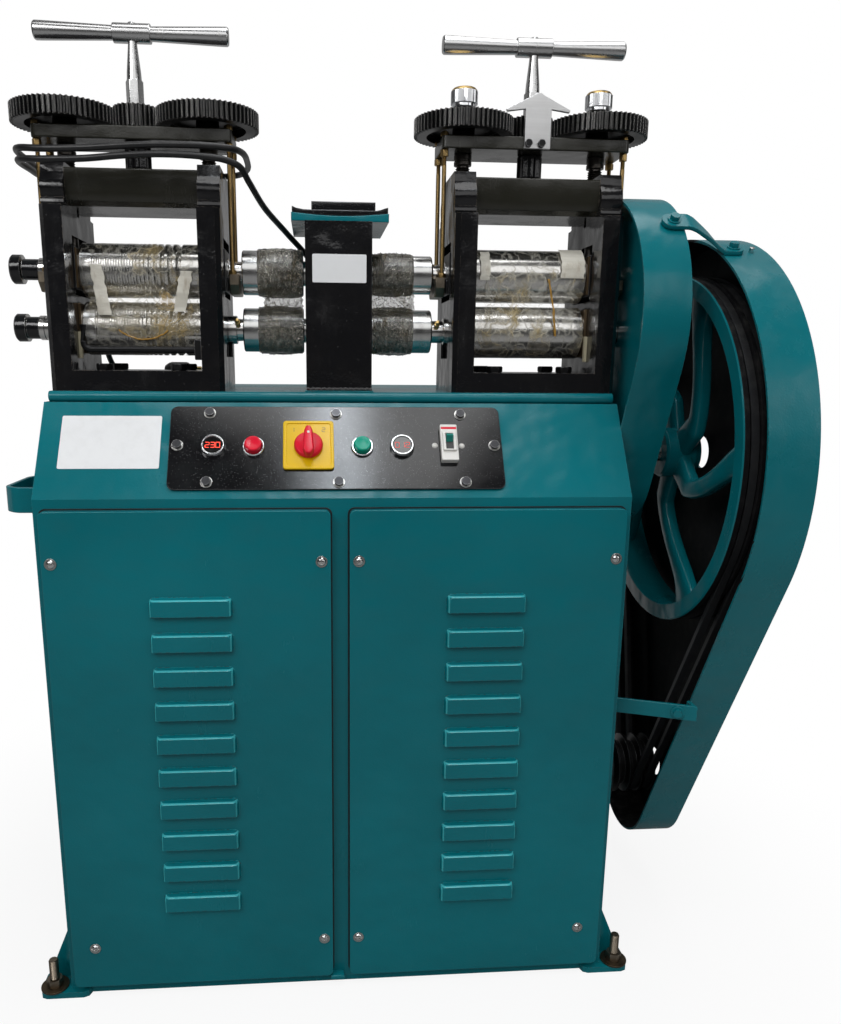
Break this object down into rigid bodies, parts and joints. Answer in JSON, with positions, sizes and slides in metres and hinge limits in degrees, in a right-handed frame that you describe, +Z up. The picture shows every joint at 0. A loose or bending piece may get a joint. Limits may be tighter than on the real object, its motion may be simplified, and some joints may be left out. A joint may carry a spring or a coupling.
{
  "type": "jewellers rolling mill",
  "caption": "Floor-standing motor-driven rolling mill with a grooved wire head and a plain sheet head on one louvred cabinet.",
  "frame": {"origin": "middle of the cabinet's base, on the floor", "axes": "+Z up; +X to the right as seen from the front; -Y towards the operator"},
  "size_m": [0.9185, 0.5551, 1.1928],
  "materials": {
    "teal_paint": "glossy teal enamel on folded sheet steel",
    "black_paint": "glossy black enamel on cast and welded parts",
    "polished_steel": "ground and polished steel",
    "dark_steel": "black oxide steel and painted cast iron",
    "brass": "plain turned brass and bronze",
    "black_rubber": "black rubber",
    "dark_plastic": "dark moulded plastic",
    "yellow_plastic": "yellow moulded plastic",
    "red_plastic": "red moulded plastic",
    "green_plastic": "green moulded plastic",
    "white_plastic": "off-white moulded plastic"
  },
  "bodies": {
    "root": {"base_frame": "teal_paint", "cabinet_shell": "teal_paint", "top_plate": "teal_paint", "left_door": "teal_paint", "right_door": "teal_paint", "control_plate": "black_paint", "left_meter": "dark_plastic", "right_meter": "dark_plastic", "switch_plate": "yellow_plastic", "breaker": "white_plastic", "side_handle": "teal_paint", "gear_column": "black_paint", "column_cap": "teal_paint", "column_lid": "black_paint", "gear_guard": "teal_paint", "belt_guard": "teal_paint", "upper_strap": "teal_paint", "lower_strap": "teal_paint", "inner_belt": "black_rubber", "outer_belt": "black_rubber", "motor": "dark_steel", "left_head_frame": "black_paint", "right_head_frame": "black_paint", "work_rest": "dark_steel", "power_cord": "black_rubber", "cord_plug": "dark_plastic", "cord_gland": "black_rubber"},
    "drive_wheel": {"bull_pulley": "teal_paint", "pulley_shaft": "polished_steel"},
    "motor_drive": {"motor_pulley": "dark_steel"},
    "lower_line": {"left_lower_roll": "polished_steel", "right_lower_roll": "polished_steel", "lower_coupling_shaft": "polished_steel", "bull_gear": "polished_steel"},
    "upper_line": {"upper_coupling_shaft": "polished_steel"},
    "left_lift": {"left_lift_plate": "black_paint", "left_outer_hanger": "brass", "left_inner_hanger": "brass"},
    "left_top_roll": {"left_upper_roll": "polished_steel"},
    "left_handle": {"left_pinion": "dark_steel", "left_t_handle": "polished_steel"},
    "left_left_screw": {"left_head_left_gear": "dark_steel", "left_head_left_screw": "polished_steel"},
    "left_right_screw": {"left_head_right_gear": "dark_steel", "left_head_right_screw": "polished_steel"},
    "right_lift": {"right_lift_plate": "black_paint", "right_outer_hanger": "brass", "right_inner_hanger": "brass", "arrow_pointer": "polished_steel"},
    "right_top_roll": {"right_upper_roll": "polished_steel"},
    "right_handle": {"right_pinion": "dark_steel", "right_t_handle": "polished_steel"},
    "right_left_screw": {"right_head_left_gear": "dark_steel", "right_head_left_screw": "polished_steel"},
    "right_right_screw": {"right_head_right_gear": "dark_steel", "right_head_right_screw": "polished_steel"},
    "red_push": {"red_button": "red_plastic"},
    "green_push": {"green_button": "green_plastic"},
    "selector": {"selector_knob": "red_plastic"},
    "breaker_switch": {"breaker_lever": "dark_plastic"}
  },
  "joints": [
    {"name": "drive_spin", "type": "hinge", "parent": "root", "child": "drive_wheel", "pos_m": [0.475, -0.039, 0.68471], "axis": [1, 0, 0], "continuous": true},
    {"name": "motor_spin", "type": "hinge", "parent": "root", "child": "motor_drive", "pos_m": [0.475, 0.03, 0.182], "axis": [1, 0, 0], "continuous": true},
    {"name": "lower_spin", "type": "hinge", "parent": "root", "child": "lower_line", "pos_m": [0, -0.054, 0.843], "axis": [1, 0, 0], "continuous": true},
    {"name": "upper_spin", "type": "hinge", "parent": "root", "child": "upper_line", "pos_m": [0, -0.054, 0.913], "axis": [1, 0, 0], "continuous": true},
    {"name": "left_lift_slide", "type": "slide", "parent": "root", "child": "left_lift", "axis": [0, 0, 1], "range_m": [-0.00443, 0.006]},
    {"name": "left_upper_spin", "type": "hinge", "parent": "left_lift", "child": "left_top_roll", "pos_m": [-0.24, -0.054, 0.913], "axis": [1, 0, 0], "continuous": true},
    {"name": "left_screw_down", "type": "hinge", "parent": "left_lift", "child": "left_handle", "pos_m": [-0.24, -0.054, 1.182], "axis": [0, 0, 1], "range_deg": [-1530, 2070]},
    {"name": "left_left_gear_turn", "type": "hinge", "parent": "left_lift", "child": "left_left_screw", "pos_m": [-0.325, -0.054, 1.088], "axis": [0, 0, 1], "range_deg": [-863, 638]},
    {"name": "left_right_gear_turn", "type": "hinge", "parent": "left_lift", "child": "left_right_screw", "pos_m": [-0.155, -0.054, 1.088], "axis": [0, 0, 1], "range_deg": [-863, 638]},
    {"name": "right_lift_slide", "type": "slide", "parent": "root", "child": "right_lift", "axis": [0, 0, 1], "range_m": [-0.00443, 0.006]},
    {"name": "right_upper_spin", "type": "hinge", "parent": "right_lift", "child": "right_top_roll", "pos_m": [0.245, -0.054, 0.913], "axis": [1, 0, 0], "continuous": true},
    {"name": "right_screw_down", "type": "hinge", "parent": "right_lift", "child": "right_handle", "pos_m": [0.245, -0.054, 1.182], "axis": [0, 0, 1], "range_deg": [-1530, 2070]},
    {"name": "right_left_gear_turn", "type": "hinge", "parent": "right_lift", "child": "right_left_screw", "pos_m": [0.16, -0.054, 1.088], "axis": [0, 0, 1], "range_deg": [-863, 638]},
    {"name": "right_right_gear_turn", "type": "hinge", "parent": "right_lift", "child": "right_right_screw", "pos_m": [0.33, -0.054, 1.088], "axis": [0, 0, 1], "range_deg": [-863, 638]},
    {"name": "red_press", "type": "slide", "parent": "root", "child": "red_push", "axis": [0, -0.82, 0.5724], "range_m": [-0.003, 0], "stiffness_N_per_m": 300, "springref_m": 0.001},
    {"name": "green_press", "type": "slide", "parent": "root", "child": "green_push", "axis": [0, -0.82, 0.5724], "range_m": [-0.003, 0], "stiffness_N_per_m": 300, "springref_m": 0.001},
    {"name": "selector_turn", "type": "hinge", "parent": "root", "child": "selector", "pos_m": [-0.036, -0.18042, 0.70884], "axis": [0, -0.82, 0.5724], "range_deg": [-90, 0]},
    {"name": "breaker_flip", "type": "hinge", "parent": "root", "child": "breaker_switch", "pos_m": [0.132, -0.17787, 0.70987], "axis": [1, 0, 0], "range_deg": [0, 56]}
  ],
  "couplings": [
    {"joint": "motor_spin", "follows": "drive_spin", "ratio": 5.9},
    {"joint": "lower_spin", "follows": "drive_spin", "ratio": -0.325},
    {"joint": "upper_spin", "follows": "drive_spin", "ratio": 0.325},
    {"joint": "left_upper_spin", "follows": "drive_spin", "ratio": 0.325},
    {"joint": "left_lift_slide", "follows": "left_screw_down", "m_per_rad": 0.00016579},
    {"joint": "left_left_gear_turn", "follows": "left_screw_down", "ratio": -0.41667},
    {"joint": "left_right_gear_turn", "follows": "left_screw_down", "ratio": -0.41667},
    {"joint": "right_upper_spin", "follows": "drive_spin", "ratio": 0.325},
    {"joint": "right_lift_slide", "follows": "right_screw_down", "m_per_rad": 0.00016579},
    {"joint": "right_left_gear_turn", "follows": "right_screw_down", "ratio": -0.41667},
    {"joint": "right_right_gear_turn", "follows": "right_screw_down", "ratio": -0.41667}
  ]
}
